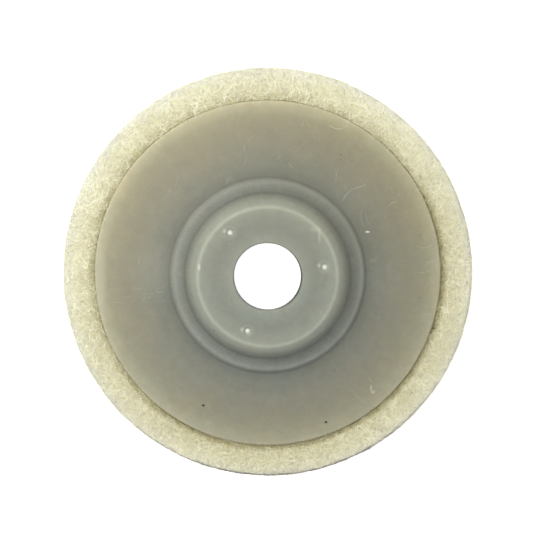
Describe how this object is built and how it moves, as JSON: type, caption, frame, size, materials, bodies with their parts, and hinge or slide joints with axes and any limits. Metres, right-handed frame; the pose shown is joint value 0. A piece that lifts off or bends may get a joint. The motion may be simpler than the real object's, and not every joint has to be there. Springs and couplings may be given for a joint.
{
  "type": "felt polishing wheel",
  "caption": "Flat-faced wool felt ring glued to a conical plastic backing plate with a raised bored hub, for polishing stone, glass and metal on an angle grinder.",
  "frame": {"origin": "centre of the felt's flat working face", "axes": "+Z along the bore axis, from the working face towards the grinder"},
  "size_m": [0.1, 0.1, 0.0183],
  "materials": {
    "backing_plastic": "frosted, slightly translucent natural plastic",
    "adhesive": "dried contact glue",
    "wool_felt": "pressed wool felt, unbleached"
  },
  "bodies": {
    "root": {"backing_plate": "backing_plastic", "adhesive_layer": "adhesive", "felt_ring": "wool_felt"}
  },
  "joints": []
}
